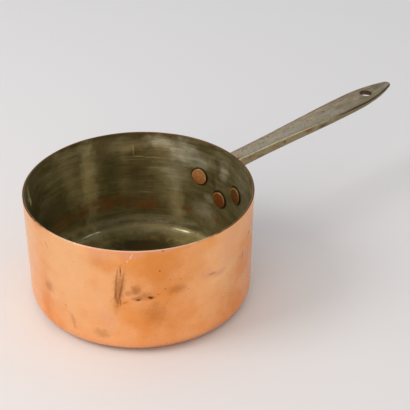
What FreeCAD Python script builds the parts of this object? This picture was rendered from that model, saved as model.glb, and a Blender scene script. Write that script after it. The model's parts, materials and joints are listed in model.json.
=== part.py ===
import FreeCAD, Part
import math
import os
from FreeCAD import Vector

# Copper saucepan: a round copper vessel, tinned inside, with a cast iron handle held by three rivets.
# Origin at the centre of the base, +Z up, +X along the handle, millimetres.

# Vessel
rim_diameter = 181.4         # outside, at the cut rim
base_diameter = 177.2        # outside, where the wall's slope would meet the floor
height = 96.0
copper_gauge = 1.4           # one sheet: wall and base
tin_thickness = 0.2          # wiped tin, thicker than real so that it is a solid
corner_radius = 13.0         # outside, between wall and base
rim_easing = 0.35            # both arrises of the cut rim, filed off

# Rivets
rivet_spacing = 44.4         # between the two upper rivets, straight across
upper_rivet_drop = 34.0      # below the rim
lower_rivet_drop = 48.5      # below the rim
rivet_diameter = 8.0         # shank
head_diameter = 15.0         # inside the vessel
head_height = 1.6
head_bevel = 0.7
tail_diameter = 11.8         # peened into the countersink, at the plate's face
tail_dome = 0.8              # how far the peened tail stands proud
rivet_clearance = 0.05       # round shank and tail

# Foot plate of the handle
plate_thickness = 4.0
lobe_radius = 10.2           # iron round each rivet
plate_land = 4.1             # plate that shows above the root and beside it at the top
shoulder_radius = 6.0        # top corners
side_hollow = 34.0           # radius from a top corner to an upper lobe
low_hollow = 12.0            # radius from an upper lobe to the lower one
plate_rounding = 1.4         # outer edge

# Shank of the handle: distances run outwards from the rim, widths are across, thicknesses down
handle_length = 212.4
handle_drop = 12.6           # ridge of the top face below the rim, at the vessel
handle_rise = 0.3            # degrees
root_width = 17.6            # at the vessel
neck_distance = 14.0
neck_width = 14.2
neck_thickness = 9.7
waist_distance = 80.0
waist_width = 17.8
flat_distance = 100.0        # up to here the underside is straight
flat_thickness = 7.6
belly_distance = 163.0
belly_width = 24.2
tip_radius = 4.2
tip_thickness = 3.6
crown_radius = 100.0         # of the top face, across
gusset_radius = 22.0         # hollow under the root
gusset_sink = 1.5            # how far that hollow runs into the plate
root_rounding = 2.2          # all round the root, on the plate
top_rounding = 0.8
under_rounding = 1.8

# Hanging hole
hole_diameter = 10.4
hole_inset = 32.2            # centre to tip
hole_easing = 0.4            # both mouths

margin = 6.0                 # how far a cutting shape runs past what it cuts

rim_radius = rim_diameter / 2
base_radius = base_diameter / 2
taper = math.atan2(rim_radius - base_radius, height)
lining_inset = copper_gauge + tin_thickness
rise = math.radians(handle_rise)
root_x = rim_radius - plate_thickness - margin
tip_x = rim_radius + handle_length


def wall_radius(z):
    """Outside radius of the sloping wall at height z."""
    return base_radius + z * math.tan(taper)


def ridge_z(x):
    """Height of the middle of the shank's top face."""
    return height - handle_drop + (x - rim_radius) * math.tan(rise)


def vessel_solid(offset, top):
    """Full solid whose skin is the vessel's outside moved outwards by offset, cut off at height top."""
    turn = corner_radius + offset
    centre = Vector(base_radius + corner_radius * (math.tan(taper) - 1 / math.cos(taper)), 0, corner_radius)
    middle = -(math.pi / 2 + taper) / 2
    floor_end = centre + Vector(0, 0, -turn)
    turn_middle = centre + Vector(turn * math.cos(middle), 0, turn * math.sin(middle))
    wall_start = centre + Vector(turn * math.cos(taper), 0, -turn * math.sin(taper))
    wall_end = Vector(wall_radius(top) + offset / math.cos(taper), 0, top)
    floor_centre = Vector(0, 0, floor_end.z)
    top_centre = Vector(0, 0, top)
    outline = Part.Wire([
        Part.makeLine(floor_centre, floor_end),
        Part.Arc(floor_end, turn_middle, wall_start).toShape(),
        Part.makeLine(wall_start, wall_end),
        Part.makeLine(wall_end, top_centre),
        Part.makeLine(top_centre, floor_centre),
    ])
    outline.rotate(Vector(0, 0, 0), Vector(0, 0, 1), 180)  # the seam lies opposite the handle
    return Part.Face(outline).revolve(Vector(0, 0, 0), Vector(0, 0, 1), 360)


def rivet_place(side, drop):
    """Point on the vessel's outside and outward direction of a rivet, square to the wall."""
    z = height - drop
    angle = math.asin(side * rivet_spacing / 2 / wall_radius(z))
    point = Vector(wall_radius(z) * math.cos(angle), wall_radius(z) * math.sin(angle), z)
    outward = Vector(math.cos(angle) * math.cos(taper), math.sin(angle) * math.cos(taper), -math.sin(taper))
    return point, outward


rivet_places = {
    "left_rivet": rivet_place(1, upper_rivet_drop),
    "right_rivet": rivet_place(-1, upper_rivet_drop),
    "lower_rivet": rivet_place(0, lower_rivet_drop),
}


def turned(points, place):
    """Solid turned about a rivet's axis from (radius, distance) points; distance runs outwards."""
    point, outward = place
    outline = Part.makePolygon([Vector(radius, 0, distance) for radius, distance in points + points[:1]])
    solid = Part.Face(outline).revolve(Vector(0, 0, 0), Vector(0, 0, 1), 360)
    solid.Placement = FreeCAD.Placement(point, FreeCAD.Rotation(Vector(0, 0, 1), outward))
    return solid


def rivet_holes():
    """Holes through lining, wall and plate, countersunk from the plate's face."""
    hole = rivet_diameter / 2 + rivet_clearance
    sink = tail_diameter / 2 + rivet_clearance
    points = [
        (0, -lining_inset - margin),
        (hole, -lining_inset - margin),
        (hole, plate_thickness - sink + hole),
        (sink + margin, plate_thickness + margin),
        (0, plate_thickness + margin),
    ]
    return [turned(points, place) for place in rivet_places.values()]


def make_pan_body():
    """Copper vessel with a flat base and a plain cut rim."""
    shell = vessel_solid(0, height).cut(vessel_solid(-copper_gauge, height))
    rim = [edge for edge in shell.Edges if edge.BoundBox.ZMin > height - rim_easing]
    return shell.makeChamfer(rim_easing, rim).cut(rivet_holes())


def make_tin_lining():
    """Tin skin on the whole inside, up to the rim's eased edge."""
    top = height - rim_easing
    return vessel_solid(-copper_gauge, top).cut(vessel_solid(-lining_inset, top)).cut(rivet_holes())


def make_rivet(place):
    """Flat bevelled head seated on the lining, shank, and tail peened into the countersink."""
    point, outward = place
    head = head_diameter / 2
    face = -lining_inset - head_height
    head_solid = turned([
        (0, face),
        (head - head_bevel, face),
        (head, face + head_bevel),
        (head, 0),
        (0, 0),
    ], place).common(vessel_solid(-lining_inset, height))
    shank = rivet_diameter / 2
    tail = tail_diameter / 2
    shank_solid = turned([
        (0, face + head_height / 2),
        (shank, face + head_height / 2),
        (shank, plate_thickness - tail + shank),
        (tail, plate_thickness),
        (0, plate_thickness),
    ], place)
    ball = (tail ** 2 + tail_dome ** 2) / (2 * tail_dome)
    dome = Part.makeSphere(ball, point + outward * (plate_thickness + tail_dome - ball))
    slab = Part.makeCylinder(ball, 2 * tail_dome, point + outward * plate_thickness, outward)
    return head_solid.fuse([shank_solid, dome.common(slab)]).removeSplitter()


def centre_between(a, reach_a, b, reach_b):
    """Point at the given reaches from a and b, on the right of the way from a to b, seen from +X."""
    way = b - a
    along = (way.Length ** 2 + reach_a ** 2 - reach_b ** 2) / (2 * way.Length)
    across = math.sqrt(reach_a ** 2 - along ** 2)
    return a + (way * along + Vector(0, way.z, -way.y) * across) / way.Length


def joint_between(lobe, other, hollow):
    """Where the outline leaves one lobe and meets the next, and the edge between them."""
    centre, radius = lobe
    next_centre, next_radius = other
    if hollow == 0:
        way = next_centre - centre
        out = Vector(0, way.z, -way.y) * radius / way.Length
        return centre + out, next_centre + out, Part.makeLine(centre + out, next_centre + out)
    axis = centre_between(centre, radius + hollow, next_centre, next_radius + hollow)
    leave = centre + (axis - centre) * radius / (radius + hollow)
    meet = next_centre + (axis - next_centre) * next_radius / (next_radius + hollow)
    inwards = (leave + meet) / 2 - axis
    bottom = axis + inwards * hollow / inwards.Length
    return leave, meet, Part.Arc(leave, bottom, meet).toShape()


def lobed_face(lobes, hollows):
    """Face whose outline runs anticlockwise round the lobes, joined by hollows, or by a line at 0."""
    joints = [joint_between(lobes[n - 1], lobe, hollows[n - 1]) for n, lobe in enumerate(lobes)]
    edges = []
    for n, (centre, radius) in enumerate(lobes):
        arrive = joints[n][1]
        leave = joints[(n + 1) % len(lobes)][0]
        first = math.atan2(arrive.z - centre.z, arrive.y - centre.y)
        last = math.atan2(leave.z - centre.z, leave.y - centre.y)
        if last < first:
            last += 2 * math.pi
        middle = (first + last) / 2
        outermost = centre + Vector(0, math.cos(middle), math.sin(middle)) * radius
        edges += [joints[n][2], Part.Arc(arrive, outermost, leave).toShape()]
    return Part.Face(Part.Wire(edges))


def front_face(solid):
    """The plate's curved face that looks away from the vessel."""
    cones = [face for face in solid.Faces if isinstance(face.Surface, Part.Cone)]
    return max(cones, key=lambda face: face.Area)


def make_foot_plate():
    """Lobed plate with the vessel's curve, solid back into the vessel."""
    corner_y = root_width / 2 + plate_land - shoulder_radius
    corner_z = ridge_z(rim_radius) + plate_land - shoulder_radius
    upper_z = height - upper_rivet_drop
    lower_z = height - lower_rivet_drop
    lobes = [
        (Vector(0, 0, lower_z), lobe_radius),
        (Vector(0, rivet_spacing / 2, upper_z), lobe_radius),
        (Vector(0, corner_y, corner_z), shoulder_radius),
        (Vector(0, -corner_y, corner_z), shoulder_radius),
        (Vector(0, -rivet_spacing / 2, upper_z), lobe_radius),
    ]
    face = lobed_face(lobes, [low_hollow, side_hollow, 0, side_hollow, low_hollow])
    face.translate(Vector(base_radius / 2, 0, 0))
    plate = face.extrude(Vector(rim_radius, 0, 0)).common(vessel_solid(plate_thickness, height))
    return plate.makeFillet(plate_rounding, front_face(plate).Edges)


def plan_face():
    """The shank's outline seen from above, running back into the vessel."""
    neck = Vector(rim_radius + neck_distance, neck_width / 2, 0)
    waist = Vector(rim_radius + waist_distance, waist_width / 2, 0)
    belly = Vector(rim_radius + belly_distance, belly_width / 2, 0)
    nose = Vector(tip_x - tip_radius, 0, 0)
    level = Vector(1, 0, 0)

    # hollow flank, a parabola from the neck back into the vessel
    flare = (root_width - neck_width) / 2 / neck_distance ** 2
    back = Vector(root_x, neck.y + flare * (neck.x - root_x) ** 2, 0)
    flank = Part.BezierCurve()
    flank.setPoles([back, Vector((root_x + neck.x) / 2, neck.y, 0), neck])

    swell = Part.BSplineCurve()
    swell.interpolate(Points=[neck, waist, belly], InitialTangent=level, FinalTangent=level)

    # bowed side from the belly, tangent to the round nose
    reach = nose.x - belly.x
    bow = (reach ** 2 + belly.y ** 2 - tip_radius ** 2) / (2 * (belly.y - tip_radius))
    bow_centre = belly - Vector(0, bow, 0)
    towards_nose = (nose - bow_centre) / (bow - tip_radius)
    halfway = towards_nose + Vector(0, 1, 0)
    bow_end = bow_centre + towards_nose * bow
    bow_middle = bow_centre + halfway * bow / halfway.Length

    side = [
        flank.toShape(),
        swell.toShape(),
        Part.Arc(belly, bow_middle, bow_end).toShape(),
    ]
    other_side = [edge.mirror(Vector(0, 0, 0), Vector(0, 1, 0)) for edge in side]
    ends = [
        Part.Arc(bow_end, nose + level * tip_radius, Vector(bow_end.x, -bow_end.y, 0)).toShape(),
        Part.makeLine(back, Vector(root_x, -back.y, 0)),
    ]
    return Part.Face(Part.Wire(Part.sortEdges(side + other_side + ends)[0]))


def profile_face():
    """The shank seen from the side, open above its crown and past its tip."""
    neck_x = rim_radius + neck_distance
    flat_x = rim_radius + flat_distance
    flat = Vector(flat_x, 0, ridge_z(flat_x) - flat_thickness)
    slope = (flat.z - ridge_z(neck_x) + neck_thickness) / (flat_x - neck_x)
    lean = math.atan(slope)
    up = Vector(-math.sin(lean), 0, math.cos(lean))

    # underside rising to the tip in a parabola, tangent to the straight part
    to_tip = Vector(tip_x, 0, ridge_z(tip_x) - tip_thickness) - flat
    bend = (to_tip.z - slope * to_tip.x) / to_tip.x ** 2
    run = to_tip.x + margin
    end = flat + Vector(run, 0, slope * run + bend * run ** 2)
    sweep = Part.BezierCurve()
    sweep.setPoles([flat, flat + Vector(run, 0, slope * run) / 2, end])

    # hollow under the root, tangent to the straight part
    hollow_start_x = wall_radius(flat.z - gusset_radius) + plate_thickness - gusset_sink
    hollow_x = hollow_start_x + gusset_radius
    hollow = Vector(hollow_x, 0, flat.z + (hollow_x - flat_x) * slope - gusset_radius / math.cos(lean))
    hollow_start = Vector(hollow_start_x, 0, hollow.z)
    between = up - Vector(1, 0, 0)
    hollow_middle = hollow + between * gusset_radius / between.Length
    hollow_end = hollow + up * gusset_radius

    back_x = root_x - margin
    top_z = ridge_z(tip_x) + margin
    corners = [
        end,
        Vector(end.x, 0, top_z),
        Vector(back_x, 0, top_z),
        Vector(back_x, 0, hollow.z),
        hollow_start,
    ]
    straights = [Part.makeLine(a, b) for a, b in zip(corners, corners[1:])]
    return Part.Face(Part.Wire(straights + [
        Part.Arc(hollow_start, hollow_middle, hollow_end).toShape(),
        Part.makeLine(hollow_end, flat),
        sweep.toShape(),
    ]))


def lengthwise(edges):
    """Those edges that run along the handle."""
    return [edge for edge in edges if edge.BoundBox.XLength > tip_radius / 2]


def make_shank():
    """Crowned, tapering shank with its gusset, running back into the vessel."""
    plan = plan_face().extrude(Vector(0, 0, 2 * height))
    profile = profile_face()
    profile.translate(Vector(0, -belly_width, 0))
    blank = plan.common(profile.extrude(Vector(0, 2 * belly_width, 0)))
    lowest = blank.BoundBox.ZMin + under_rounding
    lower = [edge for edge in lengthwise(blank.Edges) if lowest < edge.BoundBox.ZMax < ridge_z(tip_x)]
    blank = blank.makeFillet(under_rounding, lower)

    ahead = Vector(math.cos(rise), 0, math.sin(rise))
    crown_start = Vector(0, 0, ridge_z(0) - crown_radius / math.cos(rise))
    crown = Part.makeCylinder(crown_radius, tip_x + 2 * margin, crown_start, ahead)
    crown.rotate(crown_start, ahead, 180)  # its seam lies below the handle
    shank = blank.common(crown)
    top = max(shank.Faces, key=lambda face: face.BoundBox.XLength * face.CenterOfMass.z)
    return shank.makeFillet(top_rounding, lengthwise(top.Edges))


def make_handle():
    """Foot plate and shank in one casting, bored for the rivets and for hanging."""
    casting = make_shank().fuse(make_foot_plate()).removeSplitter()
    front = front_face(casting)
    root = [wire for wire in front.Wires if not wire.isSame(front.OuterWire)][0]
    casting = casting.makeFillet(root_rounding, root.Edges)
    casting = casting.cut(vessel_solid(0, height)).cut(rivet_holes())

    hole_radius = hole_diameter / 2
    hole_start = Vector(tip_x - hole_inset, 0, height / 2)
    casting = casting.cut(Part.makeCylinder(hole_radius, height, hole_start))
    near_hole = [edge for edge in casting.Edges if abs(edge.CenterOfMass.x - hole_start.x) < hole_easing]
    mouths = [edge for edge in near_hole if edge.BoundBox.XLength > hole_radius]
    return casting.makeFillet(hole_easing, mouths)


def main():
    os.makedirs("parts", exist_ok=True)
    nodes = {
        "pan_body": make_pan_body(),
        "tin_lining": make_tin_lining(),
        "handle": make_handle(),
    }
    for name, place in rivet_places.items():
        nodes[name] = make_rivet(place)
    for name, shape in nodes.items():
        shape.exportStep(os.path.join("parts", name + ".step"))
        print(name, "solids", len(shape.Solids), "faces", len(shape.Faces), "volume", round(shape.Volume))


main()
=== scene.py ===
import json
import math

import bpy
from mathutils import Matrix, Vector

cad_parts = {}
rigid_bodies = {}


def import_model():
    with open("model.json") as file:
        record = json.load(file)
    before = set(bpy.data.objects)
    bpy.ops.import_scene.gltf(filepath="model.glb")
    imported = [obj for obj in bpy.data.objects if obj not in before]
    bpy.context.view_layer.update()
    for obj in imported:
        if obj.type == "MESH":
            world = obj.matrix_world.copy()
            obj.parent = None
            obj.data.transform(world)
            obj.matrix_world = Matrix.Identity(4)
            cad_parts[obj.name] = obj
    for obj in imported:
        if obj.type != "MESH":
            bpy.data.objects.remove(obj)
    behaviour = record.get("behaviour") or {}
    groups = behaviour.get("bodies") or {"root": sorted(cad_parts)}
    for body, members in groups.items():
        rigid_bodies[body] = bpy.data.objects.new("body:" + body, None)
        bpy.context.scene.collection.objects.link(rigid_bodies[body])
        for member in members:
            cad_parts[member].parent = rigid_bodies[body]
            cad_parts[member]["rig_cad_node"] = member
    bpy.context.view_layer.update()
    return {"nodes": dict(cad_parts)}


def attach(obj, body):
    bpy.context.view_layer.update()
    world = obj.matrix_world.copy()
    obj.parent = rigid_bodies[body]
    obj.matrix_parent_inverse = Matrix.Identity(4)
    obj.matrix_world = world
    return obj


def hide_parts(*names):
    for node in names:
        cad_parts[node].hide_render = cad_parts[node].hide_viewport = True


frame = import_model()
mm = 0.001
print("frame loaded:", ", ".join(sorted(frame["nodes"])))


def hexColour(text):
    # sRGB hex to the linear colour that a socket takes
    channels = [int(text[n:n + 2], 16) / 255 for n in (1, 3, 5)]
    linear = [c / 12.92 if c <= 0.04045 else ((c + 0.055) / 1.055) ** 2.4 for c in channels]
    return (*linear, 1)


def addNode(tree, kind, sockets=None, **settings):
    # settings are the node's properties, sockets are values or the outputs that feed it
    node = tree.nodes.new("ShaderNode" + kind)
    for name, value in settings.items():
        setattr(node, name, value)
    for name, value in (sockets or {}).items():
        if isinstance(value, bpy.types.NodeSocket):
            tree.links.new(value, node.inputs[name])
        else:
            node.inputs[name].default_value = value
    return node


def newMaterial(name):
    # a principled material, its node tree and its shader
    material = bpy.data.materials.new(name)
    material.use_nodes = True
    return material, material.node_tree, material.node_tree.nodes["Principled BSDF"]


def activate(piece):
    if bpy.context.mode != "OBJECT":
        bpy.ops.object.mode_set(mode="OBJECT")
    bpy.ops.object.select_all(action="DESELECT")
    piece.select_set(True)
    bpy.context.view_layer.objects.active = piece


def selectVertices(piece, test):
    # from edit mode: selects the vertices whose place passes the test
    bpy.ops.object.mode_set(mode="OBJECT")
    for polygon in piece.data.polygons:
        polygon.select = False
    for edge in piece.data.edges:
        edge.select = False
    for vertex in piece.data.vertices:
        vertex.select = test(vertex.co)
    bpy.ops.object.mode_set(mode="EDIT")


def selectEdges(piece, test):
    # from edit mode: selects the edges whose two ends pass the test
    bpy.ops.object.mode_set(mode="OBJECT")
    vertices = piece.data.vertices
    for polygon in piece.data.polygons:
        polygon.select = False
    for vertex in vertices:
        vertex.select = False
    for edge in piece.data.edges:
        a, b = (vertices[n].co for n in edge.vertices)
        edge.select = test(a, b)
        if edge.select:
            vertices[edge.vertices[0]].select = True
            vertices[edge.vertices[1]].select = True
    bpy.ops.object.mode_set(mode="EDIT")


def applyModifier(piece, kind, **settings):
    activate(piece)
    modifier = piece.modifiers.new(kind.title(), kind)
    for name, value in settings.items():
        setattr(modifier, name, value)
    bpy.ops.object.modifier_apply(modifier=modifier.name)


def cloudTexture(name, size, depth):
    # soft noise for Displace; size is that of its lumps
    texture = bpy.data.textures.new(name, "CLOUDS")
    texture.noise_basis = "IMPROVED_PERLIN"
    texture.noise_scale = size
    texture.noise_depth = depth
    return texture


cameraPlace = {
    "target": (0.0704, -0.00074, 0.05),
    "distance": 1.0807,
    "azimuth": -133.17,         # degrees, of the camera seen from the target
    "elevation": 31.84,
    "lens": 114.15,
}


def makeCamera(place):
    azimuth = math.radians(place["azimuth"])
    elevation = math.radians(place["elevation"])
    level = math.cos(elevation)
    back = Vector((level * math.cos(azimuth), level * math.sin(azimuth), math.sin(elevation)))
    data = bpy.data.cameras.new("camera")
    data.lens = place["lens"]
    camera = bpy.data.objects.new("camera", data)
    camera.location = Vector(place["target"]) + back * place["distance"]
    camera.rotation_euler = (-back).to_track_quat("-Z", "Y").to_euler()
    bpy.context.scene.collection.objects.link(camera)
    bpy.context.scene.camera = camera


floorLook = {
    "size": 6.0,
    "paper": "#DDDDDF",
    "roughness": 0.9,
}

lightLook = {
    "background": "#DCDCDC",        # what the camera sees past the floor
    "world": "#FBFDFF",
    "worldStrength": 0.71,
    "towards": (0.03, 0.0, 0.05),
    "lamps": {                      # watts, size, colour, place
        "key": (11.6, 0.8, "#FFFBF6", (-1.1, 0.5, 1.15)),
        "fill": (8.6, 1.2, "#FFD4AC", (-1.25, -0.8, 0.75)),
    },
}


def makeFloor(look):
    bpy.ops.object.select_all(action="DESELECT")
    bpy.ops.mesh.primitive_plane_add(size=look["size"], location=(0, 0, 0))
    floor = bpy.context.object
    floor.name = "floor"
    material, tree, shader = newMaterial("seamless paper")
    shader.inputs["Base Color"].default_value = hexColour(look["paper"])
    shader.inputs["Roughness"].default_value = look["roughness"]
    floor.data.materials.append(material)


def makeLights(look):
    scene = bpy.context.scene
    world = bpy.data.worlds.new("studio")
    scene.world = world
    world.use_nodes = True
    tree = world.node_tree
    tree.nodes.clear()
    paths = addNode(tree, "LightPath")
    seen = paths.outputs["Is Camera Ray"]
    for ray in ("Is Glossy Ray", "Is Transmission Ray"):
        seen = addNode(tree, "Math", {0: seen, 1: paths.outputs[ray]}, operation="MAXIMUM").outputs[0]
    light = addNode(tree, "Background", {"Color": hexColour(look["world"]),
                                         "Strength": look["worldStrength"]})
    backdrop = addNode(tree, "Background", {"Color": hexColour(look["background"])})
    mix = addNode(tree, "MixShader", {0: seen, 1: light.outputs[0], 2: backdrop.outputs[0]})
    addNode(tree, "OutputWorld", {"Surface": mix.outputs[0]})
    for name, (watts, size, colour, place) in look["lamps"].items():
        data = bpy.data.lights.new(name, "AREA")
        data.energy = watts
        data.color = hexColour(colour)[:3]
        data.size = size
        lamp = bpy.data.objects.new(name, data)
        lamp.location = place
        way = Vector(look["towards"]) - lamp.location
        lamp.rotation_euler = way.to_track_quat("-Z", "Y").to_euler()
        scene.collection.objects.link(lamp)
    scene.view_settings.view_transform = "Standard"


makeCamera(cameraPlace)
makeFloor(floorLook)
makeLights(lightLook)
print("camera, floor and lights placed")


vesselSize = {
    "rimRadius": 90.7 * mm,     # outside, at the cut rim
    "baseRadius": 88.6 * mm,    # outside, where the wall's slope meets the floor
    "height": 96 * mm,
    "copperGauge": 1.4 * mm,
    "tinThickness": 0.2 * mm,
    "cornerRadius": 13 * mm,
    "rimEasing": 0.35 * mm,
    "cornerSteps": 12,
    "rimSteps": 3,
    "floorRings": 8,
    "ringWidth": 9 * mm,
    "outerBand": 0.7 * mm,      # a vertex this near to the outside belongs to the outer face
}
lean = math.atan2(vesselSize["rimRadius"] - vesselSize["baseRadius"], vesselSize["height"])

rivetPlaces = {                 # drop below the rim, and distance to the left of the handle's middle
    "left_rivet": (34 * mm, 22.2 * mm),
    "right_rivet": (34 * mm, -22.2 * mm),
    "lower_rivet": (48.5 * mm, 0.0),
}
rivetDrill = {
    "diameter": 8.2 * mm,       # of the holes through wall and lining
    "length": 12 * mm,
    "sides": 32,
}
smoothAngle = math.radians(35)


def wallRadius(height):
    return vesselSize["baseRadius"] + height * math.tan(lean)


def rivetAxis(node):
    # point on the outside of the wall, and the outward direction square to it
    drop, aside = rivetPlaces[node]
    height = vesselSize["height"] - drop
    radius = wallRadius(height)
    azimuth = math.asin(aside / radius)
    point = Vector((radius * math.cos(azimuth), radius * math.sin(azimuth), height))
    level = Vector((math.cos(azimuth), math.sin(azimuth), 0))
    outward = level * math.cos(lean) - Vector((0, 0, math.sin(lean)))
    return point, outward


copperForm = {
    "name": "copperShell",
    "node": "pan_body",
    "slot": "copper_shell",
    "inset": 0.0,               # of its outside from the vessel's outside
    "gauge": vesselSize["copperGauge"],
    "top": vesselSize["height"],
    "rimBevel": 0.3 * mm,
    "segments": 360,
    "wallCuts": 54,
    "waveSize": 30 * mm,
    "waveDepth": 0.3 * mm,
    "hammerSize": 11 * mm,
    "hammerDepth": 0.03 * mm,
}

tinForm = {
    "name": "tinLining",
    "node": "tin_lining",
    "slot": "tin_lining",
    "inset": vesselSize["copperGauge"],
    "gauge": vesselSize["tinThickness"],
    "top": vesselSize["height"] - vesselSize["rimEasing"],
    "rimBevel": 0.0,
    "segments": 360,
    "wallCuts": 54,
    "waveSize": 24 * mm,
    "waveDepth": 0.14 * mm,
    "hammerSize": 8 * mm,
    "hammerDepth": 0.04 * mm,
    "floorClear": 0.02 * mm,    # how far past the skin's middle a vertex lies to be on its inner face
    "rimClear": 0.2 * mm,       # left as it is below the lining's edge
    "atPlate": 0.35,            # share of the relief that is kept next to the handle
}


def makeVessel(form):
    # a cylinder turned into a tapered cup with round corners and an eased rim
    rim = vesselSize["rimRadius"] - form["inset"]
    base = vesselSize["baseRadius"] - form["inset"]
    floorHeight = form["inset"]
    top = form["top"]
    gauge = form["gauge"]
    setback = math.tan((math.pi / 2 - lean) / 2)
    outerCorner = vesselSize["cornerRadius"] - form["inset"]
    innerCorner = outerCorner - gauge
    bpy.ops.object.select_all(action="DESELECT")
    bpy.ops.mesh.primitive_cylinder_add(vertices=form["segments"], radius=base, depth=top - floorHeight,
                                        end_fill_type="NGON", location=(0, 0, (top + floorHeight) / 2))
    piece = bpy.context.object
    piece.name = form["name"]
    bpy.ops.object.transform_apply(location=True, rotation=True, scale=True)
    bpy.ops.object.mode_set(mode="EDIT")
    bpy.ops.mesh.select_mode(type="VERT")
    tiny = 1e-5

    # the wall leans out to the rim; the lining's slope is that of the whole wall
    rimHere = rim - (vesselSize["height"] - top) * math.tan(lean)
    baseHere = base + floorHeight * math.tan(lean)
    selectVertices(piece, lambda place: place.z > top - tiny)
    bpy.ops.transform.resize(value=(rimHere / base, rimHere / base, 1))
    selectVertices(piece, lambda place: place.z < floorHeight + tiny)
    bpy.ops.transform.resize(value=(baseHere / base, baseHere / base, 1))

    # the mouth: the top face is inset by the gauge and pushed down to the inner floor
    selectVertices(piece, lambda place: place.z > top - tiny)
    bpy.ops.mesh.inset(thickness=gauge / math.cos(lean), depth=0)
    drop = top - floorHeight - gauge
    bpy.ops.mesh.extrude_region_move(TRANSFORM_OT_translate={"value": (0, 0, -drop)})
    innerTop = rimHere - gauge / math.cos(lean)
    innerBase = innerTop - drop * math.tan(lean)
    bpy.ops.transform.resize(value=(innerBase / innerTop, innerBase / innerTop, 1))

    # round corners outside and inside, then the rim's two arrises
    bpy.ops.mesh.select_mode(type="EDGE")
    selectEdges(piece, lambda a, b: max(a.z, b.z) < floorHeight + tiny)
    steps = vesselSize["cornerSteps"]
    bpy.ops.mesh.bevel(offset=outerCorner * setback, segments=steps, profile=0.5, affect="EDGES")
    floorTop = floorHeight + gauge
    selectEdges(piece, lambda a, b: abs(a.z - floorTop) < tiny and abs(b.z - floorTop) < tiny
                and a.xy.length < innerBase + tiny and a.xy.length > innerBase - tiny)
    bpy.ops.mesh.bevel(offset=innerCorner * setback, segments=steps, profile=0.5, affect="EDGES")
    if form["rimBevel"]:
        selectEdges(piece, lambda a, b: min(a.z, b.z) > top - tiny
                    and abs(a.xy.length - b.xy.length) < tiny)
        bpy.ops.mesh.bevel(offset=form["rimBevel"], segments=vesselSize["rimSteps"], profile=0.5,
                           affect="EDGES")

    # rows up both walls, and rings across both floors
    longEdge = (top - floorHeight) / 2
    selectEdges(piece, lambda a, b: abs(a.z - b.z) > longEdge)
    bpy.ops.mesh.subdivide(number_cuts=form["wallCuts"])
    bpy.ops.mesh.select_mode(type="FACE")
    bpy.ops.object.mode_set(mode="OBJECT")
    for polygon in piece.data.polygons:
        polygon.select = len(polygon.vertices) > 4
    bpy.ops.object.mode_set(mode="EDIT")
    for ring in range(vesselSize["floorRings"]):
        bpy.ops.mesh.inset(thickness=vesselSize["ringWidth"], depth=0)
    bpy.ops.mesh.select_all(action="SELECT")
    bpy.ops.mesh.normals_make_consistent(inside=False)
    bpy.ops.object.mode_set(mode="OBJECT")
    return piece


def drillRivetHoles(piece):
    for node in rivetPlaces:
        point, outward = rivetAxis(node)
        bpy.ops.object.select_all(action="DESELECT")
        bpy.ops.mesh.primitive_cylinder_add(vertices=rivetDrill["sides"], radius=rivetDrill["diameter"] / 2,
                                            depth=rivetDrill["length"], location=point)
        drill = bpy.context.object
        drill.rotation_euler = outward.to_track_quat("Z", "Y").to_euler()
        bpy.ops.object.transform_apply(location=True, rotation=True, scale=True)
        applyModifier(piece, "BOOLEAN", operation="DIFFERENCE", object=drill, solver="EXACT")
        bpy.data.objects.remove(drill)


def smoothstep(low, high, value):
    share = min(max((value - low) / (high - low), 0), 1)
    return share * share * (3 - 2 * share)


def weighVertices(piece, name, weight):
    # a vertex group whose weights come from each vertex's place
    group = piece.vertex_groups.new(name=name)
    for vertex in piece.data.vertices:
        share = weight(vertex.co)
        if share > 0:
            group.add([vertex.index], share, "REPLACE")
    return group.name


plateEdge = (22, 36)            # degrees from the handle: under its foot plate, and well clear of it


def awayFromPlate(place):
    # 0 under the handle's foot plate and 1 well clear of it
    azimuth = math.degrees(abs(math.atan2(place.y, place.x)))
    return smoothstep(*plateEdge, azimuth)


def onOutside(place):
    return place.xy.length > wallRadius(place.z) - vesselSize["outerBand"]


copperDent = {                  # the crescent-shaped knock to the right of the front
    "azimuth": -92.0,
    "height": 61 * mm,
    "halfWidth": 8.5,           # degrees
    "sag": 4 * mm,
    "halfStrip": 1.0 * mm,      # of the line that is pushed in
    "depth": 0.35 * mm,
    "reach": 4.5 * mm,
}


def pressDent(piece, dent):
    # vertices along the crescent are pushed in, with a soft falloff
    activate(piece)
    bpy.ops.object.mode_set(mode="EDIT")
    bpy.ops.mesh.select_mode(type="VERT")

    def onCrescent(place):
        if not onOutside(place):
            return False
        azimuth = math.degrees(math.atan2(place.y, place.x)) - dent["azimuth"]
        share = azimuth / dent["halfWidth"]
        if abs(share) > 1:
            return False
        return abs(place.z - dent["height"] + dent["sag"] * (1 - share * share)) < dent["halfStrip"]

    selectVertices(piece, onCrescent)
    azimuth = math.radians(dent["azimuth"])
    inward = Vector((-math.cos(azimuth), -math.sin(azimuth), 0)) * dent["depth"]
    bpy.ops.transform.translate(value=inward, use_proportional_edit=True,
                                proportional_edit_falloff="SMOOTH", proportional_size=dent["reach"])
    bpy.ops.object.mode_set(mode="OBJECT")


def finishVessel(piece, form, shows, midLevel):
    # the slow waves and light hammering of hand-raised sheet, on the side that shows
    group = weighVertices(piece, "shows", shows)
    for name, size, depth in (("waves", form["waveSize"], form["waveDepth"]),
                              ("hammering", form["hammerSize"], form["hammerDepth"])):
        applyModifier(piece, "DISPLACE", texture=cloudTexture(form["name"] + " " + name, size, 1),
                      texture_coords="LOCAL", strength=depth, mid_level=midLevel, vertex_group=group)
    activate(piece)
    bpy.ops.object.shade_smooth_by_angle(angle=smoothAngle)
    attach(piece, "root")
    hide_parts(form["node"])


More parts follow.
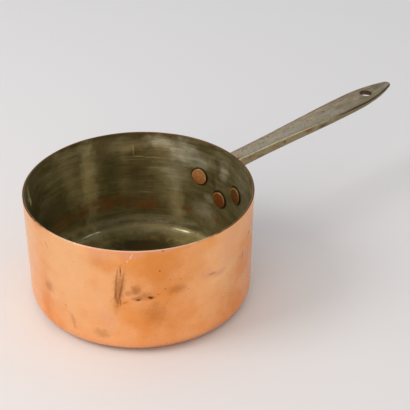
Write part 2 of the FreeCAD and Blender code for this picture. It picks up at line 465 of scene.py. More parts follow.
def makeCopperShell(form):
    piece = makeVessel(form)
    pressDent(piece, copperDent)
    drillRivetHoles(piece)

    def outside(place):
        if not onOutside(place) or place.z < vesselSize["cornerRadius"]:
            return 0
        rise = smoothstep(vesselSize["cornerRadius"], 2 * vesselSize["cornerRadius"], place.z)
        return awayFromPlate(place) * rise

    finishVessel(piece, form, outside, 1.0)
    return piece


def makeTinLining(form):
    piece = makeVessel(form)
    drillRivetHoles(piece)
    skin = vesselSize["copperGauge"] + vesselSize["tinThickness"] / 2

    def inside(place):
        if place.z < skin + form["floorClear"] or place.z > form["top"] - form["rimClear"]:
            return 0
        centre = vesselSize["baseRadius"] - vesselSize["cornerRadius"]
        middle = vesselSize["cornerRadius"]
        if place.z < middle:
            across = math.hypot(place.xy.length - centre, place.z - middle)
            if place.xy.length > centre and across > middle - skin:
                return 0
        elif place.xy.length > wallRadius(place.z) - skin:
            return 0
        return form["atPlate"] + (1 - form["atPlate"]) * awayFromPlate(place)

    finishVessel(piece, form, inside, 0.5)
    return piece


handleForm = {
    "name": "handleCasting",
    "node": "handle",
    "slot": "cast_iron",
    "voxel": 0.46 * mm,
    "smoothing": 2,
    "waveSize": 14 * mm,
    "waveDepth": 0.18 * mm,
    "pitSize": 2.2 * mm,
    "pitDepth": 0.03 * mm,
    "crownRadius": 100 * mm,    # of its top face, across
    "slice": 1.0 * mm,          # length of shank over which an edge is looked for
}

softMidLevel = 0.9              # of the relief, so that it cuts in more than it adds

rivetForm = {
    "voxel": 0.2 * mm,
    "smoothing": 1,
    "waveSize": 5 * mm,
    "waveDepth": 0.12 * mm,
    "pitSize": 1.2 * mm,
    "pitDepth": 0.02 * mm,
}


def makeSoftened(form):
    # a merged copy of the rigid piece, remeshed, eased, and given an uneven worked surface
    bpy.ops.object.select_all(action="DESELECT")
    source = frame["nodes"][form["node"]]
    piece = bpy.data.objects.new(form["name"], source.data.copy())
    bpy.context.scene.collection.objects.link(piece)
    activate(piece)
    bpy.ops.object.mode_set(mode="EDIT")
    bpy.ops.mesh.select_all(action="SELECT")
    bpy.ops.mesh.remove_doubles(threshold=1e-6)
    bpy.ops.object.mode_set(mode="OBJECT")
    piece.data.materials.clear()
    applyModifier(piece, "REMESH", mode="VOXEL", voxel_size=form["voxel"])
    applyModifier(piece, "SMOOTH", factor=0.5, iterations=form["smoothing"])
    for name, size, depth in (("waves", form["waveSize"], form["waveDepth"]),
                              ("pits", form["pitSize"], form["pitDepth"])):
        applyModifier(piece, "DISPLACE", texture=cloudTexture(form["name"] + " " + name, size, 1),
                      texture_coords="LOCAL", strength=depth, mid_level=softMidLevel)
    activate(piece)
    bpy.ops.object.shade_smooth()
    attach(piece, "root")
    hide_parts(form["node"])
    return piece


def markArrises(piece, form):
    # two attributes for wear that follows the handle's top edges: millimetres from the nearer top arris,
    # and how far across a vertex lies, from -1 at the near edge to 1 at the far one
    step = form["slice"]
    places = [vertex.co for vertex in piece.data.vertices]
    reach = {}
    ridge = {}
    for place in places:
        n = round(place.x / step)
        reach[n] = max(reach.get(n, 0), abs(place.y))
        ridge[n] = max(ridge.get(n, 0), place.z)
    fromArris = piece.data.attributes.new("fromArris", "FLOAT", "POINT")
    across = piece.data.attributes.new("across", "FLOAT", "POINT")
    for index, place in enumerate(places):
        n = round(place.x / step)
        arrisDrop = reach[n] ** 2 / 2 / form["crownRadius"]
        aside = abs(place.y) - reach[n]
        below = place.z - ridge[n] + arrisDrop
        fromArris.data[index].value = math.hypot(aside, below) / mm
        across.data[index].value = place.y / reach[n]


def inMillimetres(tree):
    place = addNode(tree, "TexCoord").outputs["Object"]
    return addNode(tree, "VectorMath", {0: place, "Scale": 1000.0}, operation="SCALE").outputs[0]


def onWall(tree, place, seam):
    # (millimetres round the wall, 0, millimetres up it), opened at the seam's azimuth; below the wall's
    # corner the height goes on downwards, by how far a point is in from it
    turned = addNode(tree, "Mapping", {"Vector": place, "Rotation": (0, 0, math.pi - math.radians(seam))})
    parts = addNode(tree, "SeparateXYZ", {"Vector": turned.outputs[0]})
    azimuth = addNode(tree, "Math", {0: parts.outputs["Y"], 1: parts.outputs["X"]}, operation="ARCTAN2")
    along = addNode(tree, "Math", {0: azimuth.outputs[0], 1: vesselSize["rimRadius"] / mm},
                    operation="MULTIPLY")
    flat = addNode(tree, "VectorMath", {0: place, 1: (1, 1, 0)}, operation="MULTIPLY")
    radius = addNode(tree, "VectorMath", {0: flat.outputs[0]}, operation="LENGTH").outputs["Value"]
    corner = (vesselSize["baseRadius"] - vesselSize["cornerRadius"]) / mm
    short = addNode(tree, "Math", {0: radius, 1: corner}, operation="SUBTRACT")
    short = addNode(tree, "Math", {0: short.outputs[0], 1: 0.0}, operation="MINIMUM")
    height = addNode(tree, "Math", {0: parts.outputs["Z"], 1: short.outputs[0]}, operation="ADD")
    return addNode(tree, "CombineXYZ", {"X": along.outputs[0], "Z": height.outputs[0]}).outputs[0]


def fromSeam(azimuth, seam):
    # millimetres round the wall of an azimuth in degrees
    return math.radians((azimuth - seam) % 360 - 180) * vesselSize["rimRadius"] / mm


def mottle(tree, place, lumps, ends, detail=3.0):
    # cloudy mask: lumps are millimetres along X, Y and Z, ends the noise where it starts and is full
    stretched = addNode(tree, "Mapping", {"Vector": place, "Scale": [1 / size for size in lumps]})
    noise = addNode(tree, "TexNoise", {"Vector": stretched.outputs[0], "Scale": 1.0, "Detail": detail})
    mask = addNode(tree, "MapRange", {0: noise.outputs[0], 1: ends[0], 2: ends[1]},
                   interpolation_type="SMOOTHSTEP")
    return mask.outputs[0]


frayDepth = 1.7                 # of a patch's edge, as a share of its blur


def patchMask(tree, place, ragged, patches):
    # the strongest of several soft ovals on a flat or unrolled face: x, z, half width, half height,
    # turn in degrees (a tall one then leans to +x), blur, strength; ragged is the size of their frays
    frays = addNode(tree, "TexNoise", {"Vector": place, "Scale": 1 / ragged, "Detail": 3.0})
    frays = addNode(tree, "VectorMath", {0: frays.outputs["Color"], 1: (0.5, 0.5, 0.5)},
                    operation="SUBTRACT")
    mask = None
    for x, z, halfWidth, halfHeight, turn, blur, strength in patches:
        local = addNode(tree, "Mapping", {"Vector": place, "Location": (x, 0, z),
                                          "Rotation": (0, math.radians(turn), 0),
                                          "Scale": (halfWidth, 1, halfHeight)}, vector_type="TEXTURE")
        depth = frayDepth * blur
        frayed = addNode(tree, "VectorMath", {0: frays.outputs[0], 1: (depth, 0, depth),
                                              2: local.outputs[0]}, operation="MULTIPLY_ADD")
        reach = addNode(tree, "VectorMath", {0: frayed.outputs[0]}, operation="LENGTH")
        patch = addNode(tree, "MapRange", {0: reach.outputs["Value"], 1: 1 - blur, 2: 1 + blur / 2,
                                           3: strength, 4: 0.0}, interpolation_type="SMOOTHSTEP")
        patch = patch.outputs[0]
        if mask:
            patch = addNode(tree, "Math", {0: mask, 1: patch}, operation="MAXIMUM").outputs[0]
        mask = patch
    return mask


def wallMarks(tree, wall, look, marks):
    # a layer for each kind of mark on the vessel, in the order in which look lists the sizes of their frays
    layers = []
    for name, ragged in look["frays"].items():
        patches = [(fromSeam(azimuth, look["seam"]), *rest) for azimuth, *rest in marks[name]]
        layers.append((look[name], patchMask(tree, wall, ragged, patches)))
    return layers


def paintLayers(tree, ground, layers):
    # each layer is a colour and the mask that lets it show, over the layers before it
    colour = hexColour(ground)
    for paint, mask in layers:
        mixed = addNode(tree, "Mix", {0: mask, 6: colour, 7: hexColour(paint)}, data_type="RGBA")
        colour = mixed.outputs[2]
    return colour


def between(tree, value, ends, share=1.0):
    # 0 outside the four ends, share within the middle two, soft from one to the next
    rise = addNode(tree, "MapRange", {0: value, 1: ends[0], 2: ends[1], 4: share},
                   interpolation_type="SMOOTHSTEP")
    fall = addNode(tree, "MapRange", {0: value, 1: ends[2], 2: ends[3], 3: 1.0, 4: 0.0},
                   interpolation_type="SMOOTHSTEP")
    return addNode(tree, "Math", {0: rise.outputs[0], 1: fall.outputs[0]}, operation="MULTIPLY").outputs[0]


def finishMetal(tree, shader, look, colour, smears, grain):
    # colour, a roughness that follows the smears, and a fine relief in the grain
    smooth, rough = look["roughness"]
    spread = addNode(tree, "MapRange", {0: smears, 3: smooth, 4: rough})
    relief = addNode(tree, "Bump", {"Height": grain, "Distance": look["relief"], "Strength": 1.0})
    shader.inputs["Metallic"].default_value = look["metallic"]
    tree.links.new(colour, shader.inputs["Base Color"])
    tree.links.new(spread.outputs[0], shader.inputs["Roughness"])
    tree.links.new(relief.outputs[0], shader.inputs["Normal"])


copperLook = {
    "seam": 47.0,               # azimuth where the wall's pattern is opened, behind the handle's left
    "ground": "#FEBA7E",
    # painted sheen: a paler copper that stands in for the soft reflection of the lamps and the room
    "paintedSheen": "#FFC892",
    "warm": "#F8A65E",
    "brown": "#E89248",
    "pink": "#F0AA86",
    "stain": "#A05C28",
    "streak": "#9A5C2E",
    "soot": "#4A2A14",
    "scratch": "#FFDDB8",
    "tarnish": "#5E3C26",
    "rimFrontPale": "#FFD6B8",
    "roughness": (0.26, 0.42),
    "relief": 0.006 * mm,
    "metallic": 1.0,
    "frays": {"paintedSheen": 14, "brown": 14, "pink": 14, "stain": 5, "streak": 12, "soot": 3.5, "scratch": 3.5},
    "rimFrontPatch": (-140, 96, 75, 20, 0, 0.4, 1.0),   # as the marks below
}

# azimuth in degrees and millimetres up the wall, half width, half height, turn in degrees, blur, strength
copperMarks = {
    # painted sheen: paler patches where the lamps' soft reflection falls, most of all towards the left edge
    "paintedSheen": [
        (-168, 60, 26, 70, 0, 0.9, 0.8),
        (-150, 45, 16, 40, 0, 0.9, 0.5),
        (-84, 68, 18, 44, 0, 0.9, 0.75),
        (156, 52, 20, 60, 0, 0.9, 0.8),
    ],
    "brown": [
        (-120, 78, 26, 34, 0, 0.9, 0.8),
        (-118, 34, 25, 34, 0, 0.9, 0.5),
        (-104, 74, 12, 16, 0, 0.9, 0.4),
        (-149, 83, 15, 8, 0, 0.9, 0.6),
        (-62, 50, 10, 50, 0, 0.9, 0.2),
        (176, 30, 9, 30, 0, 0.9, 0.4),
    ],
    "pink": [
        (-150, 92, 12, 5, 0, 0.9, 0.6),
        (-136, 94, 16, 4.5, 0, 0.9, 0.65),
        (-118, 95, 14, 3, 0, 0.9, 0.5),
        (-97, 64, 7, 5, 35, 0.8, 0.45),
        (-88, 59, 8, 3.2, 0, 0.8, 0.6),
        (-81, 82, 12, 26, 0, 0.9, 0.3),
        (-148, 33, 8, 10, 0, 0.9, 0.35),
        (30, 60, 30, 40, 0, 0.9, 0.5),
        (100, 50, 26, 44, 0, 0.9, 0.5),
    ],
    "stain": [
        (-140.6, 61, 4.4, 18, 8, 0.9, 0.62),
        (-138.3, 49.2, 3.8, 0.9, -27, 0.7, 0.45),
        (-132.8, 61, 5.5, 4.5, -20, 0.8, 0.6),
        (-136, 58.5, 4.5, 3, -20, 0.8, 0.4),
        (-131.5, 53.5, 5.5, 2.2, -10, 0.7, 0.6),
        (-125.6, 54, 3.6, 2.0, 10, 0.6, 0.7),
        (-128.4, 56, 6, 4, 0, 0.8, 0.45),
        (-123.8, 39, 10, 11, 0, 0.9, 0.3),
        (-112.4, 58.4, 8, 4.5, 0, 0.9, 0.4),
        (-93.5, 62, 5, 1.4, 12, 0.7, 0.4),
        (178, 43.5, 5.5, 5, 0, 0.8, 0.4),
        (179, 83, 0.8, 4, -25, 0.6, 0.35),
        (-150.2, 18, 7, 4.5, 0, 0.8, 0.35),
        (-61, 72, 2.4, 1.5, 0, 0.5, 0.7),
        (-69, 60, 1.4, 5, 0, 0.6, 0.35),
        (-166, 22, 2.5, 7, -15, 0.7, 0.3),
        (60, 70, 7, 9, 0, 0.9, 0.4),
        (118, 40, 12, 6, 0, 0.9, 0.35),
        (-30, 40, 9, 12, 0, 0.9, 0.45),
    ],
    "streak": [
        (-141.6, 71, 0.8, 9, 8, 0.8, 0.6),
        (-142.2, 58, 1.0, 10, 4, 0.8, 0.85),
        (-141.6, 50, 0.9, 6, -6, 0.8, 0.7),
        (-138.6, 70, 0.8, 8, 12, 0.8, 0.5),
        (-139.9, 59, 0.9, 10, 11, 0.8, 0.8),
        (-140.2, 50, 0.8, 6, 2, 0.8, 0.65),
        (-139.6, 78, 0.6, 5, 0, 0.6, 0.6),
    ],
    "soot": [
        (-131.6, 52.2, 1.9, 1.0, -15, 0.5, 0.75),
        (-125.8, 53.9, 1.9, 1.0, 20, 0.5, 0.9),
        (-139.5, 78.5, 0.5, 2.2, 0, 0.5, 0.6),
        (-121.1, 77.4, 0.75, 0.6, 0, 0.5, 0.8),
        (-118.6, 60.5, 0.6, 0.6, 0, 0.5, 0.7),
        (-116.2, 68.1, 0.5, 0.5, 0, 0.5, 0.55),
        (-122, 56.3, 0.6, 0.6, 0, 0.5, 0.6),
        (-107, 56.3, 0.6, 0.5, 0, 0.5, 0.5),
        (-119.5, 95, 1.0, 0.6, 0, 0.5, 0.7),
    ],
    "scratch": [
        (-134.4, 91.2, 0.5, 2.4, 20, 0.5, 0.75),
        (-136.2, 87.2, 0.45, 1.4, 20, 0.5, 0.6),
        (-133.6, 93.4, 0.4, 1.0, 10, 0.5, 0.5),
    ],
}


def planishedCopper(look, marks):
    # copper sheet, hammered, planished and rubbed for years: a warm satin mirror that blurs what stands
    # round it, with paler patches of painted sheen, orange-brown where fat was burnt on, pink where it was
    # last scoured, dark at the cut rim
    material, tree, shader = newMaterial("planished copper")
    place = inMillimetres(tree)
    wall = onWall(tree, place, look["seam"])
    parts = addNode(tree, "SeparateXYZ", {"Vector": place})
    up = parts.outputs["Z"]
    layers = [(look["warm"], mottle(tree, place, (34, 34, 26), (0.42, 0.66)))]
    layers += wallMarks(tree, wall, look, marks)
    layers.append((look["stain"], mottle(tree, place, (1.3, 1.3, 1.3), (0.74, 0.82), 1.0)))

    # the base is brown from the hob, with a dark line where it meets the wall
    ring = addNode(tree, "Math", {0: up, 1: mottle(tree, place, (5, 5, 5), (0.3, 0.7))},
                   operation="SUBTRACT")
    layers.append((look["stain"], between(tree, ring.outputs[0], (-9, -8, 1.0, 4.0), 0.8)))
    layers.append((look["tarnish"], between(tree, up, (-1, -0.5, 0.15, 0.5), 0.85)))

    # the cut rim's face is tarnished, less so at the front, which is paler
    azimuth, *rubbed = look["rimFrontPatch"]
    # the mask of the rim's front, where the tarnish is less and the colour paler
    worn = patchMask(tree, wall, 6.0, [(fromSeam(azimuth, look["seam"]), *rubbed)])
    rimFace = between(tree, up, (95.5, 95.7, 97, 98))
    for paint, least, most in ((look["tarnish"], 0.92, 0.1), (look["rimFrontPale"], 0.0, 0.7)):
        share = addNode(tree, "MapRange", {0: worn, 3: least, 4: most})
        rim = addNode(tree, "Math", {0: share.outputs[0], 1: rimFace}, operation="MULTIPLY")
        layers.append((paint, rim.outputs[0]))
    colour = paintLayers(tree, look["ground"], layers)
    smears = mottle(tree, place, (16, 16, 9), (0.35, 0.7), 4.0)
    grain = mottle(tree, place, (2.5, 2.5, 0.8), (0.3, 0.7))
    finishMetal(tree, shader, look, colour, smears, grain)
    return material


tinLook = {
    "seam": -133.0,             # under the near rim, out of the camera's sight
    "ground": "#A39A72",
    "dull": "#857B52",
    # light: faint level streaks of wiping, and painted reflections in upright bands and patches
    "light": "#DCD0A2",
    # painted light: the greenish light where the lamps reach the right back of the wall
    "paintedLight": "#F2F1DA",
    "orange": "#AA713C",
    # dark: mottling and stains, and painted shade on the parts of the wall that the lamps do not reach
    "dark": "#5E5534",
    # painted shade: the darker corner of the lining and its floor
    "corner": "#463E24",
    "dirt": "#342E18",
    "scratch": "#E6DCA6",
    # painted highlight: the colour of the thin lamp reflections along the corner
    "paintedHighlight": "#EDE6C8",
    "roughness": (0.36, 0.56),
    "relief": 0.03 * mm,
    "metallic": 0.85,
    "frays": {"dark": 8, "light": 8, "paintedLight": 8, "orange": 4, "corner": 8, "scratch": 2.2, "paintedHighlight": 2.2},
    "rivetRing": (8.7, 8.7, 0, 0.12, 0.9),          # a dark ring round each rivet's head: a mark's last five values
}

# as the copper's; below the corner the height goes on as millimetres in from it, across the floor
tinMarks = {
    # mostly painted shade on the wall the light does not reach, the far left above all; the smallest are
    # stains
    "dark": [
        (66, 62, 10, 44, 0, 0.9, 0.6),
        (52, 46, 10, 24, 0, 0.9, 0.45),
        (128, 45, 34, 70, 0, 0.9, 0.55),
        (112, 30, 14, 40, 0, 0.9, 0.5),
        (62, 95, 60, 2.6, 0, 0.6, 0.6),
        (5, 62, 2.6, 12, 10, 0.7, 0.55),
        (2, 80, 5, 9, 0, 0.8, 0.4),
        (-12, 45, 8, 10, 0, 0.9, 0.4),
        (22.2, 76.5, 0.7, 0.7, 0, 0.5, 0.8),
        (-40, 50, 26, 60, 0, 0.9, 0.35),
    ],
    # painted reflections: the light bands that the lamps make in the curved wall
    "light": [
        (58, 84, 16, 7, 0, 0.9, 0.5),
        (79, 56, 8, 42, 0, 0.9, 1.0),
        (90, 62, 9, 30, 12, 0.9, 0.45),
        (100, 12, 12, 6, 0, 0.9, 0.5),
        (87, 52, 12, 26, 0, 0.9, 0.35),
        (29, 33, 7, 26, 0, 0.9, 0.85),
        (34, 60, 10, 30, 0, 0.9, 0.3),
        (27, 22, 7, 9, 0, 0.8, 0.95),
        (29, 36, 5, 12, 0, 0.8, 0.5),
        (24, 60, 6, 12, 0, 0.8, 0.35),
        (93, 12, 14, 4, 0, 0.8, 0.4),
    ],
    # painted light on the right back of the wall, and a band along the top of the corner
    "paintedLight": [
        (24, 80, 15, 13, 0, 0.9, 0.95),
        (37, 88, 16, 6, 0, 0.9, 0.8),
        (30, 58, 9, 16, 0, 0.9, 0.4),
        (14, 76, 12, 8, 0, 0.8, 0.6),
        (-3, 76, 6, 11, 0, 0.8, 0.5),
        (-22, 74, 16, 26, 0, 0.9, 0.2),
        (8, 44, 5, 4, 0, 0.8, 0.5),
        (50, 12, 60, 4.5, 0, 0.8, 0.35),
        (10, 28, 14, 12, 0, 0.9, 0.4),
    ],
    "orange": [
        (101, 25, 10, 4.5, 0, 0.9, 0.55),
        (91, 27, 8, 3.5, 0, 0.9, 0.55),
        (83, 27.5, 9, 3.6, 0, 0.9, 0.7),
        (68, 27, 12, 3.8, 0, 0.9, 0.75),
        (56, 26, 9, 3, 0, 0.9, 0.5),
        (45, 26, 13, 5, 0, 0.9, 0.8),
        (44, 31, 7, 4, 0, 0.9, 0.4),
        (22, 26, 7, 4, 0, 0.9, 0.6),
        (2, 27, 6, 4, 0, 0.9, 0.6),
        (70, 33, 30, 4.5, 0, 0.9, 0.5),
        (98, 28, 14, 4.5, 0, 0.9, 0.4),
    ],
    # painted shade: a dark band along the corner that dims its lamp highlight, and the darker floor
    "corner": [
        (50, 6, 100, 5, 0, 0.5, 0.6),
        (16, 5.6, 3.0, 1.2, 0, 0.9, 0.8),
        (33, 5.4, 2.4, 1.2, 0, 0.9, 0.8),
        (53, 4.8, 12, 1.4, 0, 0.9, 0.7),
        (45, -14, 62, 15, 0, 0.6, 0.95),
    ],
    "scratch": [
        (52.6, 79.6, 0.55, 5.4, 0, 0.5, 0.65),
        (49.9, 73.4, 4.6, 0.5, 0, 0.5, 0.55),
        (44.5, 71.8, 2.6, 0.45, 0, 0.5, 0.3),
        (130.4, 85, 2.2, 7.5, 15, 0.7, 0.9),
        (128.2, 75, 2.4, 6.0, 18, 0.7, 0.9),
        (129.8, 79, 4.0, 2.4, 0, 0.7, 0.8),
        # painted reflection: two soft level lines where the wall turns into the corner
        (40, 15.4, 26, 0.5, 0, 0.6, 0.3),
        (75, 13.6, 24, 0.5, 0, 0.6, 0.3),
    ],
    # painted highlight: thin lines along the corner fillet where the lamps are reflected
    "paintedHighlight": [
        (25, 5.3, 9, 0.5, -2, 0.5, 0.4),
        (82, 5.3, 7, 0.45, 2, 0.5, 0.5),
        (76, 5.6, 3, 0.4, 0, 0.5, 0.5),
    ],
}


def wipedTin(look, marks):
    # tin melted on and wiped round with a cloth, then years of cooking: dull olive grey in faint level
    # streaks, brown tide marks of burnt jam, light-coloured scratches; painted shade on the far wall, in
    # the corner and on the floor, painted reflections in lighter bands and patches, and a painted highlight
    # on the corner
    material, tree, shader = newMaterial("wiped tin")
    place = inMillimetres(tree)
    wall = onWall(tree, place, look["seam"])
    layers = [
        (look["dull"], mottle(tree, place, (26, 26, 18), (0.36, 0.64), 4.0)),
        (look["light"], mottle(tree, place, (44, 44, 1.3), (0.56, 1.0), 2.0)),
        (look["dull"], mottle(tree, place, (40, 40, 1.7), (0.5, 0.8), 2.0)),
        (look["dark"], mottle(tree, place, (14, 14, 8), (0.56, 0.9), 3.0)),
    ]
    layers += wallMarks(tree, wall, look, marks)
    rings = []
    for node in rivetPlaces:
        point, outward = rivetAxis(node)
        azimuth = math.degrees(math.atan2(point.y, point.x))
        rings.append((fromSeam(azimuth, look["seam"]), point.z / mm, *look["rivetRing"]))
    # a dark ring round each rivet's head, where it meets the lining
    layers.append((look["dirt"], patchMask(tree, wall, 2.5, rings)))
    layers.append((look["dirt"], mottle(tree, place, (1.5, 1.5, 1.5), (0.71, 0.78), 1.0)))
    colour = paintLayers(tree, look["ground"], layers)
    smears = mottle(tree, place, (20, 20, 3), (0.3, 0.7), 4.0)
    grain = mottle(tree, place, (3, 3, 0.9), (0.3, 0.7))
    finishMetal(tree, shader, look, colour, smears, grain)
    return material


ironLook = {
    "ground": "#A39680",
    "tan": "#B3A184",
    # blue: lengthwise scoring, and a painted reflection on the near half of the top
    "blue": "#9C9C92",
    # painted reflection: the olive tint of the near side, which reflects the warm floor
    "side": "#9A8B66",
    # painted shade: the dark of the hanging hole's bore
    "bore": "#4A3A28",
    "dull": "#75694F",
    "rust": "#80501F",
    # dark: dark spots and specks, and a painted dark reflection along the near arris towards the tip
    "dark": "#3E3220",
    # painted highlight: the light line along the near arris
    "paintedHighlight": "#F2E6B4",
    "roughness": (0.36, 0.56),
    "relief": 0.03 * mm,
    "metallic": 0.75,
}

# spots on the top face: x, y, half length, half width, turn, blur, strength
ironMarks = {
    "rust": [
        (216.5, 1.9, 2.2, 1.3, 0, 0.6, 0.8),
        (194, 0.1, 1.4, 0.8, 0, 0.6, 0.7),
        (142, 4.6, 4.0, 1.0, 8, 0.7, 0.6),
        (233, -1.5, 7, 2.6, 0, 0.8, 0.5),
        (103, -5.2, 4.5, 1.3, -20, 0.6, 0.9),
        (127, 5.4, 5, 0.9, 0, 0.7, 0.4),
        (262, 2.5, 8, 3, 10, 0.9, 0.4),
        (250, 9.5, 6, 1.5, 6, 0.7, 0.4),
    ],
    "dark": [
        (101.5, -5.0, 2.6, 1.1, -20, 0.5, 0.9),
        (288, 1, 10, 6, 0, 0.9, 0.35),
        (118, 2.8, 1.0, 0.6, 0, 0.5, 0.6),
        (262, -6, 10, 3, 5, 0.9, 0.3),
    ],
    "bore": [
        (270.9, 0, 5.7, 5.7, 0, 0.08, 0.85),
    ],
}

# spots on the near side: x, z, half length, half height, turn, blur, strength
ironSideMarks = {
    "rust": [
        (186, 81.2, 6, 2.0, 0, 0.8, 0.8),
        (146, 79, 7, 2.2, 0, 0.9, 0.4),
        (116, 80.5, 5, 1.6, 0, 0.8, 0.5),
    ],
    "dark": [
        (203, 80, 6, 1.6, 0, 0.8, 0.75),
        (157, 80, 1.3, 1.5, 20, 0.6, 0.75),
        (128, 77.5, 4, 1.2, 0, 0.8, 0.4),
    ],
}


def castIron(look, marks, sideMarks):
    # grey iron, cast in sand, dressed with a file and handled bare: tan grey, scored lengthwise, with a
    # bluer band of painted reflection on the near half of the top, a painted olive tint on the near side,
    # brown rust in the pores, a painted highlight along the near arris by the pan, a painted dark
    # reflection along it towards the tip, and painted shade in the hanging hole
    material, tree, shader = newMaterial("dressed cast iron")
    place = inMillimetres(tree)
    parts = addNode(tree, "SeparateXYZ", {"Vector": place})
    top = addNode(tree, "CombineXYZ", {"X": parts.outputs["X"], "Z": parts.outputs["Y"]}).outputs[0]
    side = addNode(tree, "CombineXYZ", {"X": parts.outputs["X"], "Z": parts.outputs["Z"]}).outputs[0]
    along = parts.outputs["X"]
    fromArris = addNode(tree, "Attribute", attribute_name="fromArris").outputs["Fac"]
    across = addNode(tree, "Attribute", attribute_name="across").outputs["Fac"]

    def both(first, second):
        return addNode(tree, "Math", {0: first, 1: second}, operation="MULTIPLY").outputs[0]

    byArris = between(tree, fromArris, (-1, -0.5, 0.2, 0.8))
    nearArris = between(tree, fromArris, (-1, -0.5, 0.7, 1.4))
    broken = addNode(tree, "MapRange", {0: mottle(tree, place, (3.5, 3, 3), (0.35, 0.6)), 3: 0.35, 4: 0.9})
    nearSide = between(tree, across, (-2, -1.9, -0.8, -0.6))
    farSide = between(tree, across, (0.7, 0.95, 1.9, 2))
    rusty = addNode(tree, "MapRange", {0: mottle(tree, place, (7, 2, 2), (0.3, 0.6)), 3: 0.35, 4: 0.9})
    layers = [
        (look["tan"], mottle(tree, place, (30, 5, 5), (0.4, 0.62))),
        (look["dull"], mottle(tree, place, (16, 1.1, 2.0), (0.52, 0.8), 2.0)),
        # painted reflection: a bluer band on the near half of the top, near the pan
        (look["blue"], both(between(tree, across, (-0.98, -0.85, -0.45, 0.15), 0.7),
                            between(tree, along, (96, 118, 225, 262)))),
        # painted reflection: the near side an olive colour, as the floor it reflects
        (look["side"], both(nearSide, between(tree, fromArris, (0.6, 1.6, 40, 50)))),
        (look["dull"], both(between(tree, along, (150, 290, 400, 401), 0.85),
                            mottle(tree, place, (14, 5, 5), (0.25, 0.6)))),
        (look["blue"], mottle(tree, place, (22, 0.7, 0.9), (0.58, 0.86), 1.0)),
        (look["dull"], mottle(tree, place, (3.0, 1.4, 1.4), (0.52, 0.76), 2.0)),
        (look["rust"], patchMask(tree, top, 3.0, marks["rust"])),
        (look["dark"], patchMask(tree, top, 3.0, marks["dark"])),
        (look["rust"], both(nearSide, patchMask(tree, side, 2.0, sideMarks["rust"]))),
        (look["dark"], both(nearSide, patchMask(tree, side, 2.0, sideMarks["dark"]))),
        (look["rust"], both(farSide, rusty.outputs[0])),
        # painted highlight: a broken light line along the near arris between the pan and the middle
        (look["paintedHighlight"], both(both(both(byArris, nearSide), broken.outputs[0]),
                              between(tree, along, (96, 100, 165, 215)))),
        # painted reflection: a dark line along the near arris towards the tip, where it reflects the dark
        # room
        (look["dark"], both(both(nearArris, nearSide), between(tree, along, (200, 245, 400, 401), 0.95))),
        # painted shade in the hanging hole
        (look["bore"], patchMask(tree, top, 3.0, marks["bore"])),
        (look["dark"], mottle(tree, place, (1.2, 1.2, 1.2), (0.69, 0.76), 1.0)),
    ]
    colour = paintLayers(tree, look["ground"], layers)
    smears = mottle(tree, place, (18, 3, 3), (0.3, 0.7), 4.0)
    grain = mottle(tree, place, (6, 0.6, 0.8), (0.25, 0.75), 4.0)
    finishMetal(tree, shader, look, colour, smears, grain)
    return material


rivetFinish = {
    "litEdge": (6.0, 6.4, 6.75, 6.95),      # millimetres from the rivet's axis: start, full, full, end
    "darkRing": (6.7, 6.95, 30, 31),
    "roughness": (0.32, 0.5),
    "relief": 0.02 * mm,
    "metallic": 0.7,
}

rivetLooks = {                  # face, worn patches, lower part, share of light on the edge
    "left_rivet": ("#E69E5C", "#F0B274", "#B6703A", 1.0),
    "right_rivet": ("#8A5829", "#986434", "#6C401B", 1.0),
    "lower_rivet": ("#9C5C28", "#AC6C34", "#7C4820", 1.0),
}


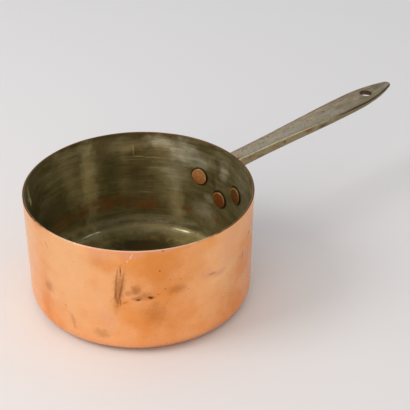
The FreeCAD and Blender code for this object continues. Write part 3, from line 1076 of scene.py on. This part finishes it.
def forgedCopper(node, look, finish, dirt, edge):
    # soft copper, forged hot: a flat face in blotches of brown, darker below, a painted highlight on its
    # thin edge that is brighter towards the top, and a dark ring in the angle with the lining
    face, worn, lower, light = look
    material, tree, shader = newMaterial("forged copper " + node.split("_")[0])
    place = inMillimetres(tree)
    point, outward = rivetAxis(node)
    turn = outward.to_track_quat("Z", "Y").to_euler()
    local = addNode(tree, "Mapping", {"Vector": place, "Location": point / mm, "Rotation": turn},
                    vector_type="TEXTURE").outputs[0]
    flat = addNode(tree, "VectorMath", {0: local, 1: (1, 1, 0)}, operation="MULTIPLY").outputs[0]
    radius = addNode(tree, "VectorMath", {0: flat}, operation="LENGTH").outputs["Value"]
    height = addNode(tree, "SeparateXYZ", {"Vector": place}).outputs["Z"]
    middle = point.z / mm
    low = addNode(tree, "MapRange", {0: height, 1: middle + 1, 2: middle - 6, 4: 0.8}).outputs[0]
    # painted highlight: the thin edge is painted lighter, more towards the top, where the lamps catch it
    upper = addNode(tree, "MapRange", {0: height, 1: middle - 3, 2: middle + 4, 4: light}).outputs[0]
    lit = addNode(tree, "Math", {0: upper, 1: between(tree, radius, finish["litEdge"])},
                  operation="MULTIPLY")
    layers = [
        (worn, mottle(tree, place, (4, 4, 4), (0.42, 0.66))),
        (lower, low),
        (dirt, mottle(tree, place, (1.6, 1.6, 1.6), (0.62, 0.8), 2.0)),
        (edge, lit.outputs[0]),
        # a dark ring round the head's edge, in the angle with the lining
        (dirt, between(tree, radius, finish["darkRing"], 0.95)),
    ]
    colour = paintLayers(tree, face, layers)
    smears = mottle(tree, place, (3, 3, 3), (0.3, 0.7))
    grain = mottle(tree, place, (1.4, 1.4, 1.4), (0.3, 0.7))
    finishMetal(tree, shader, finish, colour, smears, grain)
    return material


print("shaping the vessel")
copperShell = makeCopperShell(copperForm)
copperShell.data.materials.append(planishedCopper(copperLook, copperMarks))
tinLining = makeTinLining(tinForm)
tinLining.data.materials.append(wipedTin(tinLook, tinMarks))
print("softening the handle and rivets")
handleCasting = makeSoftened(handleForm)
markArrises(handleCasting, handleForm)
handleCasting.data.materials.append(castIron(ironLook, ironMarks, ironSideMarks))
for node, look in rivetLooks.items():
    slotName = "bright_rivet" if node == "left_rivet" else "brown_rivet"
    rivet = makeSoftened(dict(rivetForm, name=node.replace("_rivet", "Rivet"), node=node, slot=slotName))
    rivet.data.materials.append(forgedCopper(node, look, rivetFinish, tinLook["dirt"], copperLook["ground"]))

for piece in bpy.data.objects:
    if piece.type == "MESH" and not piece.get("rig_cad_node"):
        print(piece.name, "triangles", sum(len(p.vertices) - 2 for p in piece.data.polygons))
